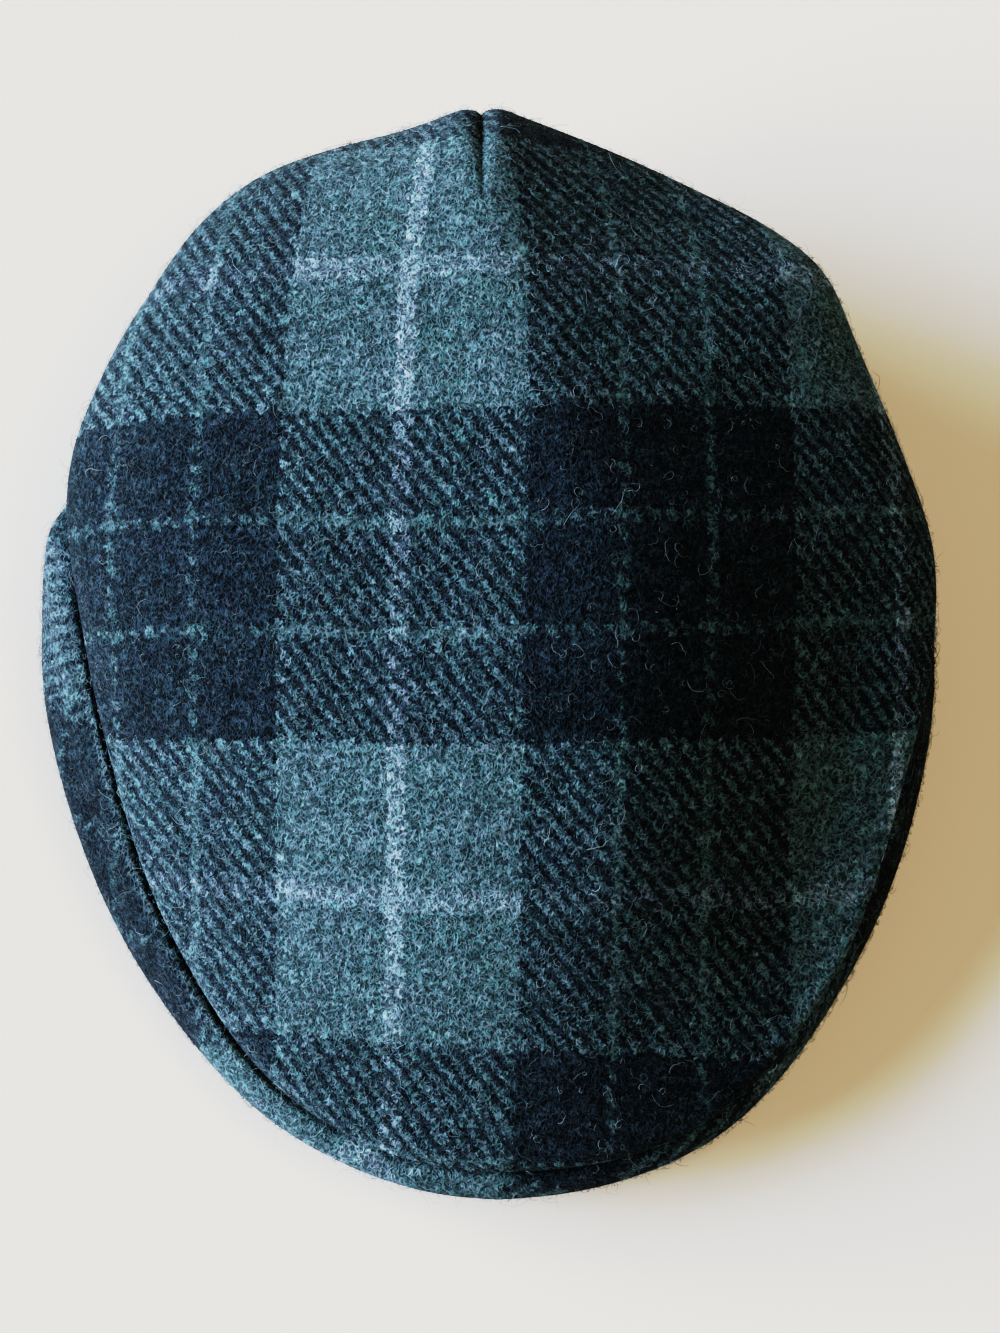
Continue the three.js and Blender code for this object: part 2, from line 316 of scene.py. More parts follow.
def thread_top(piece):
    """The top's threads run along the cap and across it, eased by the dart and by wear."""
    mesh = piece.data
    across, back = flat_top(coordinates(mesh))
    corners, middles = corner_data(mesh)
    across, back = across[corners], back[corners]
    warp = CROWN_WARP + (across * math.cos(TOP_SKEW) - back * math.sin(TOP_SKEW)) / WARP_PITCH
    weft = CROWN_WEFT - back / WEFT_PITCH
    # The dart takes in a wedge of cloth at the centre back, so the threads on its two sides don't meet.
    wedge = np.clip((back - WEDGE_START) / WEDGE_LENGTH, 0, 1.3)
    warp += np.where(middles[:, 0] > CROWN[0], WEDGE_RIGHT * wedge**1.5, -WEDGE_LEFT * wedge**1.2)
    # Pressing has eased some threads out of true, most at the sides: the warp fans, and the weft bows.
    x = across / EASED
    y = back / EASED
    warp += 1.2 * np.maximum(y, -0.9) + 3.8 * x * y - 4 * x**2 + 5 * x**4
    weft += 3.2 * np.abs(x) ** 1.4 + 0.5 * x + 1.3 * x * y - 1.4 * x * y**2
    # They are crowded together beside the small fold on the left, and drawn down at the right.
    weft += ramp_up(-x, 0.25, 0.5) * np.interp(y, [-0.7, -0.45, 0.1, 0.37], [0, 0.5, 1.5, 0])
    weft += 1.6 * ramp_up(x, 0.62, 0.98) * (1 - ramp_up(y, 0.2, 0.5))
    lay_threads(piece, warp, weft)


def thread_side(piece, side):
    """A side panel is cut askew, so its threads run slanting to its long way."""
    widest = SEAMS[side][0]
    steps = np.hypot((widest[1:] + widest[:-1]) / 2 * math.radians(STATION_STEP), np.diff(widest))
    points = coordinates(piece.data)
    along = np.interp(np.abs(around(points)[0]), STATIONS, np.append(0, np.cumsum(steps)))
    along -= STRETCH * np.maximum(along - STRETCHED_FROM, 0)
    down = off_seam(points)
    slant = math.radians(SIDE_SLANT[side])
    first_warp, first_weft = SIDE_START[side]
    warp = first_warp - side * (along * math.cos(slant) - down * math.sin(slant)) / SIDE_WARP_PITCH
    weft = first_weft - (along * math.sin(slant) + down * math.cos(slant)) / SIDE_WEFT_PITCH
    corners, _ = corner_data(piece.data)
    lay_threads(piece, warp[corners], weft[corners])


def thread_peak(piece):
    points = coordinates(piece.data)
    corners, _ = corner_data(piece.data)
    warp = PEAK_WARP + points[:, 0] / WARP_PITCH
    weft = PEAK_WEFT - (points[:, 1] - points[:, 2]) / WEFT_PITCH
    lay_threads(piece, warp[corners], weft[corners])


# How the cloth lies: pulled in along seams, and slumped to one side

HALF_WALL = 1.1 * MM
SEAM_REACH = 9 * MM
DART_LENGTH = 40 * MM
DART_SIDES = 9 * MM
DART_CUTS = 7
DART_PLUMP = 0.4 * MM
DART_PINCH = 1.3 * MM
DART_WIDTH = 0.7 * MM
# How far the top's edge is drawn in and tucked down along the seam, and hangs out on the right.
DRAWN_IN = 0.8 * MM
TUCKED_DOWN = 3 * MM
OVERHANG = 3 * MM
# How far the top is lowered and the sides are raised where their edges lie level.
TOP_LOWERED = 1.6 * MM
SIDE_RAISED = 1.2 * MM
# The small fold on the left where the top's overhang ends, in degrees from the front, and its depths.
SMALL_FOLD = -95
FOLD_PINCH = 2.7 * MM
FOLD_HOLLOW = 1.4 * MM
FOLD_SWELL = 1.2 * MM
SIDE_PINCH = 2 * MM
# The crest of the slumped top: distance to the right of the centre line, by distance to the back.
CREST_BACK = np.array([-115, -90, -75, -48, 20, 45, 85, 106, 130]) * MM
CREST_RIGHT = np.array([20, 20, 23, 30, 30, 18, 5, 0, 0]) * MM
# Height added to the top across the crest, from left to right of it.
SLUMP_ACROSS = np.array([-55, -40, -20, -5, 0, 5, 15, 28, 42, 56, 75, 95]) * MM
SLUMP_HEIGHT = np.array([0, 0.5, 2.0, 3.4, 3.6, 3.2, 1.4, -0.9, -3.0, -4.2, -2.5, 0]) * MM
# How a side panel is turned over along its seam: down from its edge, its face dips and rises into a fold.
FOLD_DOWN = np.array([0, 0.7, 1.3, 2, 2.8, 4, 5.5, 8, 11]) * MM
FOLD_OUT = np.array([-1.0, -0.5, -0.7, -0.7, -0.1, 0.8, 1.4, 1.0, 0]) * MM
FOLD_UP = np.array([-1.7, -2.1, -1.1, 1.0, 1.5, 1.5, 1.1, 0.4, 0]) * MM
# The same for its back, which stays flat under the fold.
BACK_OUT = np.array([-1.0, -0.5, -0.2, 0, 0, 0, 0, 0, 0]) * MM
BACK_UP = np.array([-2.2, -2.8, -2.7, -2.3, -1.7, -0.9, -0.2, 0, 0]) * MM


def bell(values, middle, below, above):
    """A smooth hump, 1 at its middle, with its own width on each side."""
    away = values - middle
    return np.exp(-((away / np.where(away < 0, below, above)) ** 2))


def ramp_up(values, start, end):
    """A smooth rise, from 0 at its start to 1 at its end."""
    share = np.clip((values - start) / (end - start), 0, 1)
    return share * share * (3 - 2 * share)


def refine_dart(piece):
    """Splits the top's faces across the dart."""
    points = coordinates(piece.data)
    ends = edge_ends(piece.data)
    run = np.abs(points[ends[:, 0]] - points[ends[:, 1]])
    length = np.linalg.norm(run, axis=1)
    beside = np.abs(points[:, 0] - CROWN[0]) < DART_SIDES
    near = beside & (points[:, 1] > CROWN[1]) & (off_seam(points) < DART_LENGTH + 4 * MM)
    crossing = (run[:, 0] > 0.8 * length) & (length > 1.2 * MM)
    split_edges(piece, near[ends].all(1) & crossing, DART_CUTS)


def refine_seam(piece, cuts):
    """Splits a panel's faces along its seam, where the cloth turns in sharply."""
    points = coordinates(piece.data)
    ends = edge_ends(piece.data)
    length = np.linalg.norm(points[ends[:, 0]] - points[ends[:, 1]], axis=1)
    turn, radius = around(points)
    swing = np.abs((turn[ends[:, 0]] - turn[ends[:, 1]] + 180) % 360 - 180)
    in_slice = np.radians(swing) * radius[ends[:, 0]] < 0.5 * length
    near = off_seam(points) < SEAM_REACH
    split_edges(piece, near[ends].all(1) & in_slice & (length > 0.9 * MM), cuts)


def sewn_in(turn):
    """How deeply the seam is drawn in: least at the front, where the peak is under it."""
    return np.interp(np.abs(turn), [0, 12, 32, 112, 130, 180], [0.2, 0.3, 1, 1, 0.5, 0.4])


def folded_over(turn):
    """How far the sides' edge is turned over: fully on the left, and hardly under the top's overhang."""
    return np.interp(
        turn,
        [-108, -97, -45, -30, -12, 12, 22, 92, 108],
        [0, 1, 1, 0.7, 0.3, 0.2, 0.4, 0.4, 0],
    )


def in_shade(turn):
    """How deep the painted shade is down in the seam, which is open along the left alone."""
    return np.interp(
        turn,
        [-108, -97, -78, -62, -35, -10, 95, 108],
        [0, 1, 1, 0.35, 0.3, 0.2, 0.2, 0],
    )


def nap_painted_shade(turn):
    """How much painted shade darkens the left side, as where its nap lies away from the light."""
    return np.interp(turn, [-79, -74, -34, -28], [0, 0.18, 0.18, 0])


def left_front(turn):
    """Where the two edges along the open seam are painted pale, as wear and as painted highlight."""
    return np.interp(turn, [-82, -62, -35, -20], [0, 1, 1, 0])


def level_edges(turn):
    """Where the two edges along the seam lie almost level with each other."""
    return np.interp(
        turn,
        [-82, -62, -35, -20, -5, 12, 38, 58],
        [0, 1, 1, 0.3, 0.3, 0.8, 0.8, 0],
    )


def level_way(turn):
    """The level way out from the crown."""
    heading = np.radians(turn)
    return np.stack([np.sin(heading), -np.cos(heading), np.zeros(len(heading))], 1)


def outward(turn, off):
    """The way out of the cap: nearly level at the seam, and steeper above it."""
    lean = np.radians(np.interp(off / MM, [0, 8, 35], [18, 35, 68]))
    way = level_way(turn) * np.cos(lean)[:, None]
    way[:, 2] = np.sin(lean)
    return way


def shape_top(piece):
    """Draws the top in along its seams, and lets it hang over the sides and slump."""
    points = coordinates(piece.data)
    turn, _ = around(points)
    off = off_seam(points)
    out = outward(turn, off)

    # The edge is drawn in along the seam, and tucked down behind the sides' folded edge.
    sewn = sewn_in(turn)
    move = -DRAWN_IN * sewn * bell(off, 1.5 * MM, 2 * MM, 3 * MM)

    # The dart at the centre back is a narrow crease between two plump sides.
    beside = np.abs(points[:, 0] - CROWN[0])
    dart = np.where(np.abs(turn) > 150, np.clip(1 - off / DART_LENGTH, 0, 1) ** 0.5, 0)
    plump = DART_PLUMP * bell(beside, 5 * MM, 4 * MM, 5 * MM)
    pinch = DART_PINCH * np.exp(-((beside / DART_WIDTH) ** 1.5))
    move += dart * (plump - pinch)
    # The dart mark places a painted line of shade along the dart's crease.
    mark(piece, "dart", np.clip(3 * dart, 0, 1) * (beside < 5 * MM))
    # The crease mark is painted shade on the top's edge down in the seam.
    mark(piece, "crease", in_shade(turn) * bell(off, 0, 1, 2 * MM))
    # The pale edge mark is partly wear and partly painted highlight.
    mark(piece, "wear_and_highlight", 0.5 * left_front(turn) * bell(off, 5 * MM, 1 * MM, 1.2 * MM))

    # On the left the overhang ends in a small fold, where the edge is pinched in.
    move -= FOLD_PINCH * bell(turn, SMALL_FOLD, 4.5, 6) * bell(off, 0, 1, 7 * MM)
    move -= FOLD_HOLLOW * bell(turn, -86, 12, 24) * bell(off, 4 * MM, 4 * MM, 9 * MM)
    move += FOLD_SWELL * bell(turn, -108, 9, 6) * bell(off, 12 * MM, 8 * MM, 10 * MM)
    points += out * move[:, None]
    points[:, 2] -= TUCKED_DOWN * sewn * bell(off, 0, 1, 1.8 * MM)

    # The top hangs down towards its edge, and on the right further over the side.
    hang = OVERHANG * np.interp(turn, [2, 20, 75, 100, 125], [0, 1, 1, 0.4, 0])
    hang *= bell(off, 7 * MM, 6 * MM, 22 * MM)
    points += level_way(turn) * hang[:, None]
    low = np.interp(
        turn,
        [-125, -100, -60, -35, -15, 10, 38, 60, 75, 100, 125, 145, 165, 178],
        [0, 2.5, 2.5, 1, 0, 0, 4, 4, 3, 2, 2.5, 3, 2, 0],
    )
    points[:, 2] -= low * MM * bell(off, 13 * MM, 7 * MM, 28 * MM)
    points[:, 2] -= TOP_LOWERED * level_edges(turn) * bell(off, 5 * MM, 3 * MM, 9 * MM)

    # The whole top has slumped, with a soft crest to the right of the centre line.
    across = points[:, 0] - np.interp(points[:, 1], CREST_BACK, CREST_RIGHT)
    shifts = np.arange(-5, 6) * MM
    slump = np.mean([np.interp(across + shift, SLUMP_ACROSS, SLUMP_HEIGHT) for shift in shifts], axis=0)
    front = np.interp(points[:, 1] / MM, [-100, -70, -50], [0.4, 0.7, 1])
    points[:, 2] += slump * ramp_up(off, 5 * MM, 28 * MM) * front
    move_to(piece, points)


def shape_side(piece, side):
    """Turns the upper edge over in a fold, and swells the left panel out below the top's small fold."""
    points = coordinates(piece.data)
    turn, _ = around(points)
    way = level_way(turn)
    normals = read(piece.data.vertices, "normal", 3)
    face = ramp_up(((way + [0, 0, 1]) * normals).sum(1), -0.5, 0.5)

    depth = np.maximum(off_seam(points, HALF_WALL) - HALF_WALL, 0)
    folded = folded_over(turn)
    out = np.interp(depth, FOLD_DOWN, FOLD_OUT)
    up = np.interp(depth, FOLD_DOWN, FOLD_UP)
    back_out = np.interp(depth, FOLD_DOWN, BACK_OUT)
    back_up = np.interp(depth, FOLD_DOWN, BACK_UP)

    # Painted shade darkens the seam and part of the left side; the fold and the swelling are painted
    # pale, as wear and highlight.
    painted_seam_shade = in_shade(turn) * (1 - ramp_up(depth, 0.9 * MM, 1.5 * MM))
    # The crease mark is painted shade: dark down in the seam, and over part of the left side.
    mark(piece, "crease", np.maximum(painted_seam_shade, nap_painted_shade(turn)))
    rubbed_and_lit = left_front(turn) * bell(depth, 2.7 * MM, 0.7 * MM, 0.8 * MM)
    rubbed_and_lit += 0.4 * bell(turn, -89, 7, 12) * bell(depth, 4 * MM, 1.5 * MM, 8 * MM)
    mark(piece, "wear_and_highlight", face * rubbed_and_lit)

    belly = ramp_up(depth, 0, 6 * MM) * ramp_up(points[:, 2], 0, 6 * MM)
    if side == LEFT:
        swell = 3.6 * bell(turn, SMALL_FOLD, 5, 9) + 0.6 * bell(turn, -80, 8, 8)
    else:
        swell = 1.2 * bell(turn, 92, 8, 8)
    points += outward(turn, np.zeros(len(points))) * (belly * swell * MM)[:, None]
    pinched = SIDE_PINCH * bell(turn, SMALL_FOLD, 4.5, 6) * bell(depth, 0, 1, 3 * MM)
    points += way * (folded * (face * out + (1 - face) * back_out) - pinched)[:, None]
    points[:, 2] += folded * (face * up + (1 - face) * back_up)
    points[:, 2] += SIDE_RAISED * level_edges(turn) * face * bell(depth, 2.2 * MM, 2.2 * MM, 2.5 * MM)
    move_to(piece, points)


# Materials

# How finely the wool wanders, curls and changes its dye, in swings to the metre.
YARN_WANDER = 160
GROUND_STRAY = 1300
HAIR_STRAY = 640
HAIR_DYE = 700
CLOTH_DYE = 60
LONG_CURLS = 470
SHORT_CURLS = 690
LONE_CURLS = 330
DART_WAVER = 900
STRAY_HAIR = (0.085, 0.125, 0.15, 1)
# Colour of the pale edges, which stands for wear and for painted highlight.
RUBBED_WOOL_AND_HIGHLIGHT = (0.165, 0.265, 0.335, 1)
# Places of the colours among a mix node's sockets.
FIRST_COLOUR = 6
SECOND_COLOUR = 7
MIXED_COLOUR = 2


class Shade:
    """A material's node tree, with short words for its common nodes."""

    def __init__(self, name):
        self.material = bpy.data.materials.new(name)
        self.material.use_nodes = True
        self.tree = self.material.node_tree
        self.surface = self.tree.nodes["Principled BSDF"]

    def put(self, value, socket):
        if isinstance(value, bpy.types.NodeSocket):
            self.tree.links.new(value, socket)
        elif value is not None:
            socket.default_value = value

    def set_surface(self, values):
        for name, value in values.items():
            self.put(value, self.surface.inputs[name])

    def node(self, kind, **settings):
        made = self.tree.nodes.new(kind)
        for name, value in settings.items():
            setattr(made, name, value)
        return made

    def maths(self, operation, *values):
        made = self.node("ShaderNodeMath", operation=operation)
        for value, socket in zip(values, made.inputs):
            self.put(value, socket)
        return made.outputs[0]

    def blend(self, share, first, second, how="MIX"):
        made = self.node("ShaderNodeMix", data_type="RGBA", blend_type=how)
        self.put(share, made.inputs["Factor"])
        self.put(first, made.inputs[FIRST_COLOUR])
        self.put(second, made.inputs[SECOND_COLOUR])
        return made.outputs[MIXED_COLOUR]

    def spread(self, value, low, high, start=0.0, end=1.0):
        made = self.node("ShaderNodeMapRange")
        for socket, item in zip(made.inputs, (value, start, end, low, high)):
            self.put(item, socket)
        return made.outputs[0]

    def noise(self, where, scale, detail=2.0, colour=False, swirl=0.0):
        made = self.node("ShaderNodeTexNoise")
        made.inputs["Scale"].default_value = scale
        made.inputs["Detail"].default_value = detail
        made.inputs["Distortion"].default_value = swirl
        self.put(where, made.inputs["Vector"])
        return made.outputs["Color" if colour else "Fac"]

    def vector(self, x, y, z=0.0):
        made = self.node("ShaderNodeCombineXYZ")
        for value, socket in zip((x, y, z), made.inputs):
            self.put(value, socket)
        return made.outputs[0]

    def tint(self, colour, dye):
        return self.blend(1.0, colour, dye, "MULTIPLY")

    def dim(self, colour, share):
        return self.tint(colour, self.vector(share, share, share))

    def marked(self, name, output="Fac"):
        """A value or a colour that the piece's own points carry."""
        return self.node("ShaderNodeAttribute", attribute_name=name).outputs[output]

    def parts(self, vector):
        made = self.node("ShaderNodeSeparateXYZ")
        self.put(vector, made.inputs[0])
        return made.outputs

    def ramp(self, share, stops, step=False):
        made = self.node("ShaderNodeValToRGB")
        band = made.color_ramp
        band.interpolation = "CONSTANT" if step else "LINEAR"
        while len(band.elements) < len(stops):
            band.elements.new(1.0)
        for element, (place, colour) in zip(band.elements, stops):
            element.position = place
            element.color = (*colour, 1)
        self.put(share, made.inputs[0])
        return made.outputs[0]


def in_sett(shade, thread, values):
    """A value for each yarn of the check, given to a thread by its number."""
    share = shade.maths("FRACT", shade.maths("DIVIDE", shade.maths("ADD", thread, 0.5), REPEAT))
    stops, place = [], 0
    for yarn, threads in SETT:
        stops.append((place / REPEAT, (*values[yarn], 0.0)[:3]))
        place += threads
    return shade.ramp(share, stops, step=True)


def tweed_material():
    shade = Shade("tweed")
    place = shade.node("ShaderNodeTexCoord").outputs["Object"]
    lines = shade.parts(shade.node("ShaderNodeUVMap", uv_map="threads").outputs[0])

    def aside(shift):
        """The same place, moved along, so that one kind of noise can be read twice."""
        moved = shade.node("ShaderNodeVectorMath", operation="ADD")
        shade.put(place, moved.inputs[0])
        moved.inputs[1].default_value = (shift, 0.4 * shift, -0.7 * shift)
        return moved.outputs[0]

    def strayed(threads, where, scale, reach):
        """Thread numbers as wool spreads from each yarn over its neighbours."""
        drift = shade.parts(shade.noise(where, scale, 1.0, colour=True))
        shifts = [shade.spread(part, -reach, reach) for part in drift[:2]]
        return [shade.maths("ADD", line, shift) for line, shift in zip(threads, shifts)]

    def float_height(inside, along):
        """A yarn is round, and arches up where it passes over two others."""
        across = shade.maths("SUBTRACT", shade.maths("MULTIPLY", inside, 2.0), 1.0)
        round_yarn = shade.maths("SUBTRACT", 1.0, shade.maths("MULTIPLY", across, across))
        arch = shade.maths("SINE", shade.maths("MULTIPLY", along, math.pi / 2))
        return shade.maths("MULTIPLY", round_yarn, shade.spread(arch, 0.35, 1.0))

    def yarn(thread, along, dyes, seed):
        """Each yarn is a little lighter or darker than the next, and along its length."""
        own = shade.node("ShaderNodeTexWhiteNoise", noise_dimensions="1D")
        shade.put(shade.maths("ADD", thread, seed), own.inputs["W"])
        on_yarn = shade.vector(shade.maths("MULTIPLY", thread, 3.7), shade.maths("MULTIPLY", along, 0.22))
        slub = shade.spread(shade.noise(on_yarn, 1.0, 2.0), 0.6, 1.4, 0.25, 0.75)
        tone = shade.maths("MULTIPLY", shade.spread(own.outputs["Value"], 0.84, 1.16), slub)
        return shade.dim(in_sett(shade, thread, dyes), tone)

    def woven(warp, weft):
        """Two over, two under, one step on at every pick: the colour that shows, and the height."""
        end = shade.maths("FLOOR", warp)
        pick = shade.maths("FLOOR", weft)
        in_end = shade.maths("FRACT", warp)
        in_pick = shade.maths("FRACT", weft)
        step = shade.maths("FLOORED_MODULO", shade.maths("SUBTRACT", end, pick), 4.0)
        warp_shows = shade.maths("LESS_THAN", step, 2.0)
        along_warp = shade.maths("ADD", shade.maths("SUBTRACT", 1.0, step), in_pick)
        along_weft = shade.maths("ADD", shade.maths("SUBTRACT", step, 2.0), in_end)
        warp_height = float_height(in_end, along_warp)
        weft_height = float_height(in_pick, along_weft)
        warp_yarn = yarn(end, weft, YARN, 0.71)
        weft_yarn = yarn(pick, warp, WEFT_YARN, 0.37)
        warp_wool = in_sett(shade, end, FELTING)
        weft_wool = in_sett(shade, pick, FELTING)
        lets = shade.parts(shade.blend(warp_shows, weft_wool, warp_wool))[0]
        spreads = shade.parts(shade.blend(warp_shows, warp_wool, weft_wool))[1]
        shown = shade.blend(warp_shows, weft_yarn, warp_yarn)
        crossing = shade.blend(warp_shows, warp_yarn, weft_yarn)
        felted = shade.blend(shade.maths("MULTIPLY", lets, spreads), shown, crossing)
        return felted, shade.spread(warp_shows, weft_height, warp_height)

    def curls(scale, width, shift, swirl):
        """Thin curling lines, 1 along the middle of a hair and 0 beside it."""
        lie = shade.noise(aside(shift), scale, 0.5, swirl=swirl)
        off = shade.maths("ABSOLUTE", shade.maths("SUBTRACT", lie, 0.5))
        return shade.spread(off, 1.0, 0.0, 0.0, width)

    # The yarns wander a little, and the ground of the cloth between the hairs is painted dark with shade,
    # deepest where the yarns dip.
    wandering = strayed(lines[:2], place, YARN_WANDER, 0.5)
    ground, height = woven(*strayed(wandering, place, GROUND_STRAY, 1.2))
    ground = shade.dim(ground, shade.spread(height, 0.28, 0.55))

    # Felted over it, hairs of many dyes curl from yarn to yarn, with slow changes over the cloth.
    hair, _ = woven(*strayed(wandering, aside(0.9), HAIR_STRAY, 1.8))
    dyes = shade.parts(shade.noise(place, HAIR_DYE, 2.0, colour=True))
    hair = shade.tint(hair, shade.ramp(dyes[0], [
        (0.30, (0.72, 1.05, 1.0)),
        (0.45, (0.92, 1.0, 1.0)),
        (0.55, (1.0, 1.0, 1.02)),
        (0.70, (1.22, 1.04, 1.16)),
    ]))
    hair = shade.tint(hair, shade.ramp(shade.noise(aside(1.7), CLOTH_DYE, 2.0), [
        (0.35, (0.95, 1.015, 0.98)),
        (0.65, (1.05, 0.99, 1.035)),
    ]))
    # Painted highlight: the hairs are lightened up to 2.6 times in random places, standing for their
    # lustre.
    hair = shade.dim(hair, shade.spread(dyes[1], 1.0, 2.6, 0.3, 0.7))
    long_curls = curls(LONG_CURLS, 0.085, 0.3, 0.9)
    short_curls = curls(SHORT_CURLS, 0.085, 0.7, 0.7)
    pile = shade.maths("MAXIMUM", long_curls, shade.maths("MULTIPLY", short_curls, 0.9))
    colour = shade.blend(pile, ground, hair)

    # Single hairs stray over all of it, and some edges are painted pale, as wear and as painted
    # highlight.
    lone = curls(LONE_CURLS, 0.028, 2.6, 1.2)
    colour = shade.blend(shade.maths("MULTIPLY", lone, 0.3), colour, STRAY_HAIR)
    rubbed_and_lit = shade.maths("MULTIPLY", shade.marked("wear_and_highlight"), shade.spread(pile, 0.1, 0.8))
    colour = shade.blend(rubbed_and_lit, colour, RUBBED_WOOL_AND_HIGHLIGHT)

    # Painted shade darkens the wool where a seam draws it in, on part of the left side, and along the
    # thin line of the dart.
    beside = shade.maths("ABSOLUTE", shade.maths("SUBTRACT", shade.parts(place)[0], float(CROWN[0])))
    waver = shade.spread(shade.noise(place, DART_WAVER, 1.0), -0.25 * MM, 0.25 * MM)
    line = shade.spread(shade.maths("ADD", beside, waver), 0.8, 0.0, 0.05 * MM, 0.6 * MM)
    dart = shade.maths("MULTIPLY", line, shade.marked("dart"))
    shaded = shade.maths("MAXIMUM", dart, shade.marked("crease"))
    colour = shade.dim(colour, shade.spread(shaded, 1.0, 0.12))

    relief = shade.maths("ADD", shade.maths("MULTIPLY", height, 0.7), shade.maths("MAXIMUM", pile, lone))
    bump = shade.node("ShaderNodeBump")
    bump.inputs["Strength"].default_value = 0.7
    bump.inputs["Distance"].default_value = 0.4 * MM
    shade.put(relief, bump.inputs["Height"])
    shade.set_surface({
        "Base Color": colour,
        "Normal": bump.outputs[0],
        "Roughness": 0.92,
        "Specular IOR Level": 0.1,
        "Sheen Weight": 0.06,
        "Sheen Roughness": 0.5,
        "Sheen Tint": (0.75, 0.88, 0.95, 1),
    })
    return shade.material


def fibre_material():
    """Wool in each hair's own dye."""
    shade = Shade("loose_wool")
    shade.set_surface({
        "Base Color": shade.marked("dye", "Color"),
        "Roughness": 0.8,
        "Specular IOR Level": 0.15,
    })
    return shade.material


# Loose wool standing out of the cloth

# A face is on the outside of the cap if a point low in the hollow lies far enough behind it.
LOW_IN_HOLLOW = 15 * MM
FAR_BEHIND = 4 * MM
PALE_HAIR = np.array([0.17, 0.21, 0.23])
LOWEST_HAIR = 0.15 * MM
ROOT_DEPTH = 0.05 * MM
# The hairs' headings are counted on the cloth from a line square to this one.
HEADING_FROM = [0.31, 0.87, 0.11]
# A hair's slope falls by this share of it from root to tip, it turns by chance, and it thins to the tip.
BENT_BACK = 1.25
CHANCE_TURN = 0.5
THINNED = 0.6
RING = np.radians((90, 210, 330))


def outer_cloth(pieces):
    """Triangles on the outside of the cloth: their corners, normals and thread numbers."""
    corners, normals, threads = [], [], []
    inside = np.array([CROWN[0], CROWN[1], LOW_IN_HOLLOW])
    for piece in pieces:
        mesh = piece.data
        mesh.calc_loop_triangles()
        index = read(mesh.loop_triangles, "vertices", 3, np.int32)
        loops = read(mesh.loop_triangles, "loops", 3, np.int32)
        facing = read(mesh.loop_triangles, "normal", 3).astype(float)
        lines = read(mesh.uv_layers["threads"].data, "uv", 2)
        spots = coordinates(mesh)[index]
        out = ((spots.mean(1) - inside) * facing).sum(1) > FAR_BEHIND
        corners.append(spots[out])
        normals.append(facing[out])
        threads.append(lines[loops][out])
    return np.concatenate(corners), np.concatenate(normals), np.concatenate(threads)


def hair_dyes(threads, pale, rng):
    """A hair's dye is that of the yarn which shows where it stands, now and then of a paler one."""
    order = np.array([YARN[yarn] for yarn, number in SETT for _ in range(number)])
    end, pick = np.floor(threads).astype(int).T
    yarn = np.where((end - pick) % 4 < 2, end, pick) % REPEAT
    dye = order[yarn] * rng.uniform(0.9, 2.0, (len(yarn), 1))
    stray = rng.random(len(yarn)) < pale
    dye[stray] = PALE_HAIR * rng.uniform(0.5, 1.3, (stray.sum(), 1))
    return dye


def hair_roots(cloth, count, pale, rim, rng):
    """Places spread over the cloth, thicker by rim where it stands upright: points, normals and dyes."""
    corners, normals, threads = cloth
    size = np.linalg.norm(np.cross(corners[:, 1] - corners[:, 0], corners[:, 2] - corners[:, 0]), axis=1)
    size *= 1 + rim * (1 - np.abs(normals[:, 2]))
    pick = rng.choice(len(corners), count, p=size / size.sum())
    share = rng.random((count, 2))
    share[share.sum(1) > 1] = 1 - share[share.sum(1) > 1]
    a, b, c = (corners[pick, k] for k in range(3))
    d, e, f = (threads[pick, k] for k in range(3))
    roots = a + share[:, :1] * (b - a) + share[:, 1:] * (c - a)
    dyes = hair_dyes(d + share[:, :1] * (e - d) + share[:, 1:] * (f - d), pale, rng)
    return roots, normals[pick], dyes


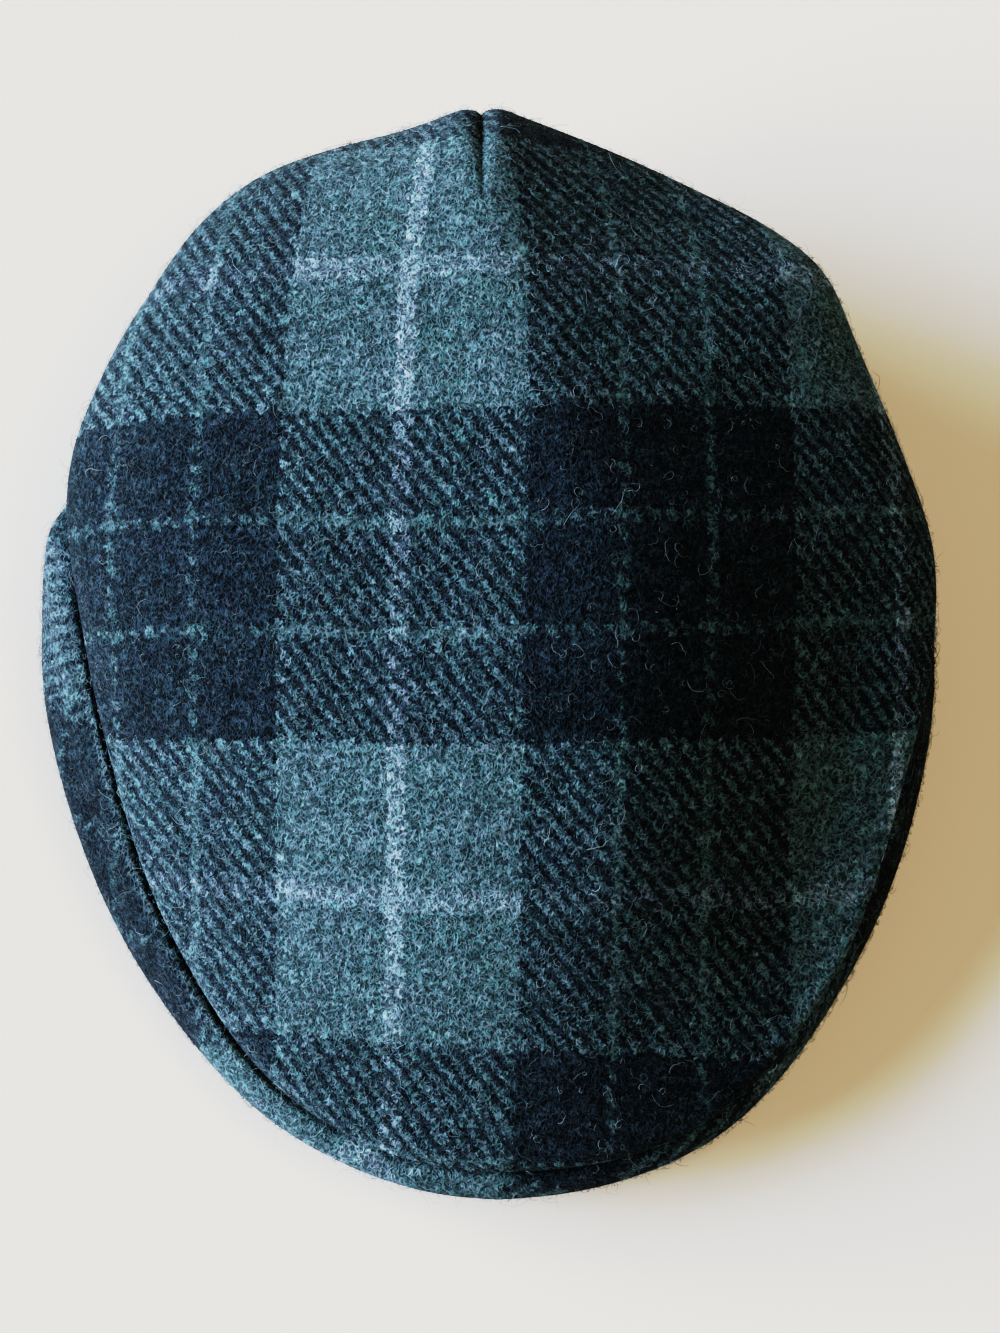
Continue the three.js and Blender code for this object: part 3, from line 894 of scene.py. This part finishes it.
def loose_fibres(name, cloth, count, spots, length, thickness, lift, curl, pale, rim, seed):
    """Curly hairs of wool, each a thin closed tube that leaves the cloth and bends back to it."""
    rng = np.random.default_rng(seed)
    roots, normal, dyes = hair_roots(cloth, count, pale, rim, rng)
    side = np.cross(normal, HEADING_FROM)
    side /= np.linalg.norm(side, axis=1, keepdims=True)
    other = np.cross(normal, side)

    reach = rng.uniform(*length, count) * MM / (spots - 1)
    heading = rng.uniform(0, 2 * math.pi, count)
    bend = rng.choice([-1, 1], count) * rng.uniform(*curl, count)
    rise = rng.uniform(*lift, count)
    path = [roots - normal * ROOT_DEPTH]
    ways = []
    for k in range(spots - 1):
        up = rise * (1 - BENT_BACK * k / (spots - 2))
        way = side * np.cos(heading)[:, None] + other * np.sin(heading)[:, None] + normal * up[:, None]
        way /= np.linalg.norm(way, axis=1, keepdims=True)
        ways.append(way)
        path.append(path[-1] + way * reach[:, None])
        heading = heading + bend + rng.normal(0, CHANCE_TURN, count)
    ways.append(ways[-1])

    thick = rng.uniform(*thickness, count) * MM / 2
    rings = []
    for k, (spot, way) in enumerate(zip(path, ways)):
        spot[:, 2] = np.maximum(spot[:, 2], LOWEST_HAIR)
        across = np.cross(way, normal)
        across /= np.maximum(np.linalg.norm(across, axis=1, keepdims=True), 1e-9)
        over = np.cross(across, way)
        taper = thick * (1 - THINNED * (k / (spots - 1)) ** 2)
        for turn in RING:
            rings.append(spot + (across * math.cos(turn) + over * math.sin(turn)) * taper[:, None])
    verts = np.stack(rings, 1)
    faces = [(0, 2, 1)]
    for k in range(spots - 1):
        for t in range(3):
            p, q = 3 * k + t, 3 * k + (t + 1) % 3
            faces += [(p, q, q + 3), (p, q + 3, p + 3)]
    last = 3 * (spots - 1)
    faces.append((last, last + 1, last + 2))
    faces = (np.array(faces)[None] + np.arange(count)[:, None, None] * verts.shape[1]).reshape(-1, 3)

    mesh = bpy.data.meshes.new(name)
    mesh.from_pydata(verts.reshape(-1, 3).tolist(), [], faces.tolist())
    paint = np.ones((count, verts.shape[1], 4), np.float32)
    paint[:, :, :3] = dyes[:, None]
    mesh.color_attributes.new("dye", "FLOAT_COLOR", "POINT").data.foreach_set("color", paint.ravel())
    mesh.shade_smooth()
    return placed(name, mesh)


# The cap

def sewn_side(node, name, side):
    """A side panel, cut finely along its seam, threaded and shaped."""
    piece = cloth_copy(node, name, seam=True)
    refine_seam(piece, 2)
    thread_side(piece, side)
    shape_side(piece, side)
    return piece


tweed = tweed_material()
loose_wool = fibre_material()

top = cloth_copy("top_panel", "tweed_top")
refine_dart(top)
refine_seam(top, 1)
thread_top(top)
shape_top(top)
left = sewn_side("side_panel_left", "tweed_side_left", LEFT)
right = sewn_side("side_panel_right", "tweed_side_right", RIGHT)
peak = cloth_copy("peak", "tweed_peak")
thread_peak(peak)

panels = [
    (top, "top_panel"),
    (left, "side_panel_left"),
    (right, "side_panel_right"),
    (peak, "peak"),
]
for piece, node in panels:
    piece.data.materials.clear()
    piece.data.materials.append(tweed)
    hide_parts(node)
    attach(piece, "root")

outer = outer_cloth([top, left, right, peak])
# Hairs by kind: how many, and the points along each; length and thickness in millimetres, the slope at
# which it leaves the cloth, and its turn in radians at each point; and the share of pale hairs.
tufts = {
    "loose_wool_nap": dict(
        count=14000, spots=3, length=(0.8, 2.2), thickness=(0.08, 0.13),
        lift=(0.8, 2.4), curl=(0.1, 0.6), pale=0.10, rim=25.0, seed=11,
    ),
    "loose_wool_short": dict(
        count=6000, spots=6, length=(1.8, 3.6), thickness=(0.06, 0.10),
        lift=(0.2, 0.8), curl=(0.3, 1.1), pale=0.15, rim=0.0, seed=12,
    ),
    "loose_wool_curly": dict(
        count=5000, spots=7, length=(3.0, 6.5), thickness=(0.08, 0.14),
        lift=(0.15, 0.6), curl=(0.4, 1.2), pale=0.28, rim=0.0, seed=13,
    ),
    "loose_wool_long": dict(
        count=3000, spots=7, length=(4.0, 9.0), thickness=(0.08, 0.15),
        lift=(0.05, 0.4), curl=(0.0, 0.8), pale=0.24, rim=0.0, seed=14,
    ),
}
for name, habit in tufts.items():
    piece = loose_fibres(name, outer, **habit)
    piece.data.materials.append(loose_wool)
    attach(piece, "root")


# Floor, light and camera

FLOOR_SIZE = 60
# Cool light comes in low from the left, as through a window of three panes, and a warm lamp is above.
PANES = (-108, -97, -86)
WINDOW = dict(height=19, width=34, strength=2.7, colour=(0.83, 0.90, 1.0))
LAMP = dict(bearing=85, height=73, width=40, strength=0.75, colour=(1.0, 0.79, 0.5))


def plain_floor():
    bpy.ops.object.select_all(action="DESELECT")
    bpy.ops.mesh.primitive_plane_add(size=FLOOR_SIZE, location=(0, 0, 0))
    floor = bpy.context.object
    floor.name = "floor"
    shade = Shade("pale_floor")
    shade.set_surface({"Base Color": (0.80, 0.775, 0.725, 1), "Roughness": 0.85})
    floor.data.materials.append(shade.material)


def soft_light(name, bearing, height, width, strength, colour):
    """A wide even light from far off: bearing from the front, height and width are in degrees."""
    data = bpy.data.lights.new(name, "SUN")
    data.angle = math.radians(width)
    data.energy = strength
    data.color = colour
    light = placed(name, data)
    turn = math.radians(bearing)
    rise = math.radians(height)
    towards = Vector((math.sin(turn) * math.cos(rise), -math.cos(turn) * math.cos(rise), math.sin(rise)))
    light.location = towards
    light.rotation_mode = "QUATERNION"
    light.rotation_quaternion = towards.to_track_quat("Z", "Y")


def pale_room():
    """A dim warm room that fills the shadows, seen as a pale wall beyond the floor."""
    room = bpy.data.worlds.new("room")
    bpy.context.scene.world = room
    room.use_nodes = True
    tree = room.node_tree
    fill = tree.nodes["Background"]
    fill.inputs["Color"].default_value = (1.0, 0.80, 0.50, 1)
    fill.inputs["Strength"].default_value = 0.08
    wall = tree.nodes.new("ShaderNodeBackground")
    wall.inputs["Color"].default_value = (0.78, 0.76, 0.73, 1)
    seen = tree.nodes.new("ShaderNodeLightPath")
    choice = tree.nodes.new("ShaderNodeMixShader")
    tree.links.new(seen.outputs["Is Camera Ray"], choice.inputs[0])
    tree.links.new(fill.outputs[0], choice.inputs[1])
    tree.links.new(wall.outputs[0], choice.inputs[2])
    tree.links.new(choice.outputs[0], tree.nodes["World Output"].inputs["Surface"])


plain_floor()
for pane, bearing in enumerate(PANES):
    soft_light(f"window_{pane + 1}", bearing, **WINDOW)
soft_light("lamp", **LAMP)
pale_room()

# The camera looks down on the cap from the front. TARGET is a point in it that shows at TARGET_PX.
FRAME_PX = (1000, 1333)
FOCAL_PX = 3192.1
TARGET = Vector((0, 0, 0.03))
TARGET_PX = (488.4, 649.8)
ELEVATION = math.radians(79)
ROLL = math.radians(-0.896)
DISTANCE = 0.8
SENSOR = 36
back_way = Vector((0, -math.cos(ELEVATION), math.sin(ELEVATION)))
level = Vector((1, 0, 0))
upright = back_way.cross(level)
image_x = level * math.cos(ROLL) + upright * math.sin(ROLL)
image_y = upright * math.cos(ROLL) - level * math.sin(ROLL)
px = DISTANCE / FOCAL_PX
aim = TARGET + image_x * (FRAME_PX[0] / 2 - TARGET_PX[0]) * px
aim -= image_y * (FRAME_PX[1] / 2 - TARGET_PX[1]) * px
eye = aim + back_way * DISTANCE
camera_data = bpy.data.cameras.new("camera")
camera_data.sensor_width = SENSOR
camera_data.lens = FOCAL_PX / FRAME_PX[1] * SENSOR
camera = placed("camera", camera_data)
rows = [(image_x[k], image_y[k], back_way[k], eye[k]) for k in range(3)]
camera.matrix_world = Matrix(rows + [(0, 0, 0, 1)])
bpy.context.scene.camera = camera

# Tones as they are printed: darks go deeper, middle tones are lifted, and the pale floor stays as it is.
TONE = [
    (0.016, 0.006),
    (0.04, 0.034),
    (0.08, 0.119),
    (0.12, 0.212),
    (0.19, 0.386),
    (0.24, 0.5),
    (0.4, 0.65),
    (0.8, 0.8),
]
WHOLE_TONE = 3
view = bpy.context.scene.view_settings
view.view_transform = "Standard"
view.look = "None"
view.use_curve_mapping = True
tone = view.curve_mapping
for place, value in TONE:
    tone.curves[WHOLE_TONE].points.new(place, value)
tone.update()
